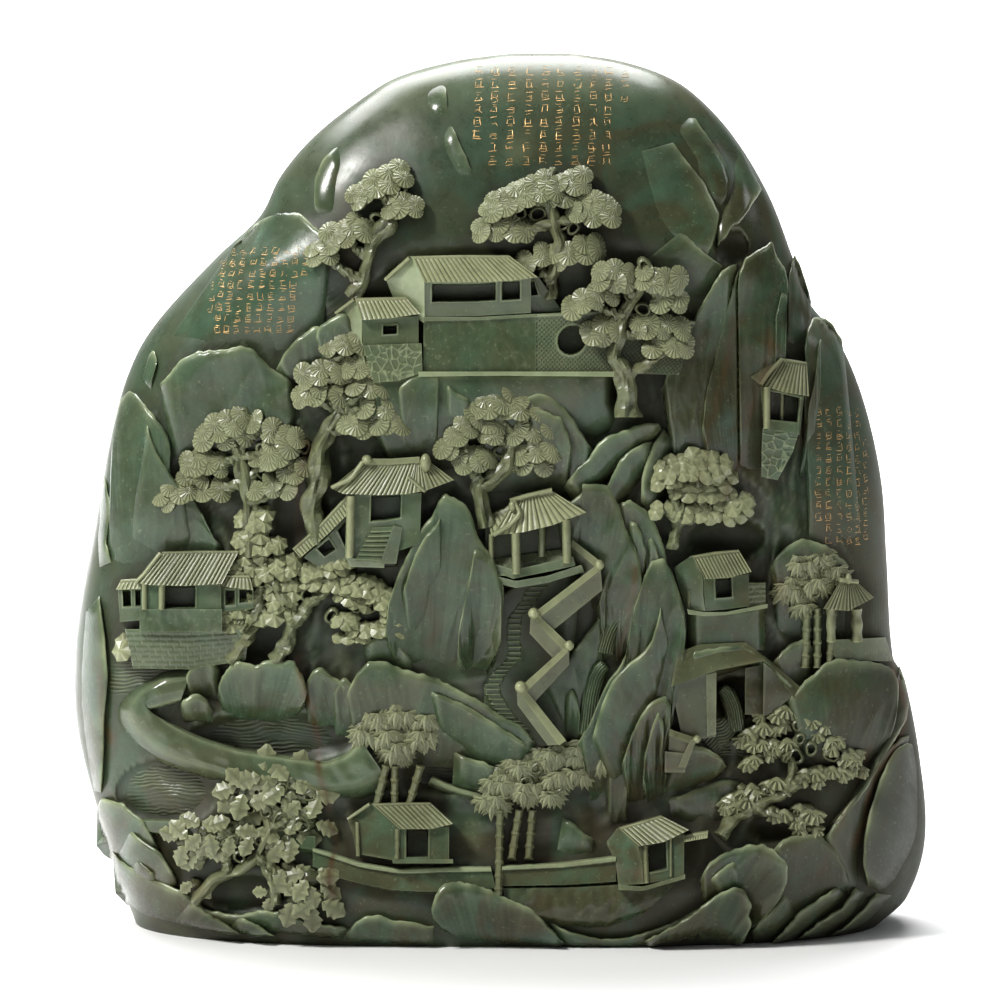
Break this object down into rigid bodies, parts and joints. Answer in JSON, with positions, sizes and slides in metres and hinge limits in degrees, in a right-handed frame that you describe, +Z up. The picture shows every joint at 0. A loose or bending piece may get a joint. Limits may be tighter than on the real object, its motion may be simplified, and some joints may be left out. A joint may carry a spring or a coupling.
{
  "type": "jade boulder carving",
  "caption": "Upright boulder of green stone, its front carved in high relief with cliffs, pines, houses, walls and water, and gilt rows of writing-like strokes.",
  "frame": {"origin": "centre of the stone's bounding box, at its flat underside", "axes": "+Z up, +X to the viewer's right, the carved front towards -Y"},
  "size_m": [0.428, 0.1674, 0.438],
  "materials": {
    "jade": "polished dark green stone with paler raised edges and russet veins",
    "gilt": "dull gilding in shallow strokes"
  },
  "bodies": {
    "root": {"jade_boulder": "jade"}
  },
  "joints": []
}
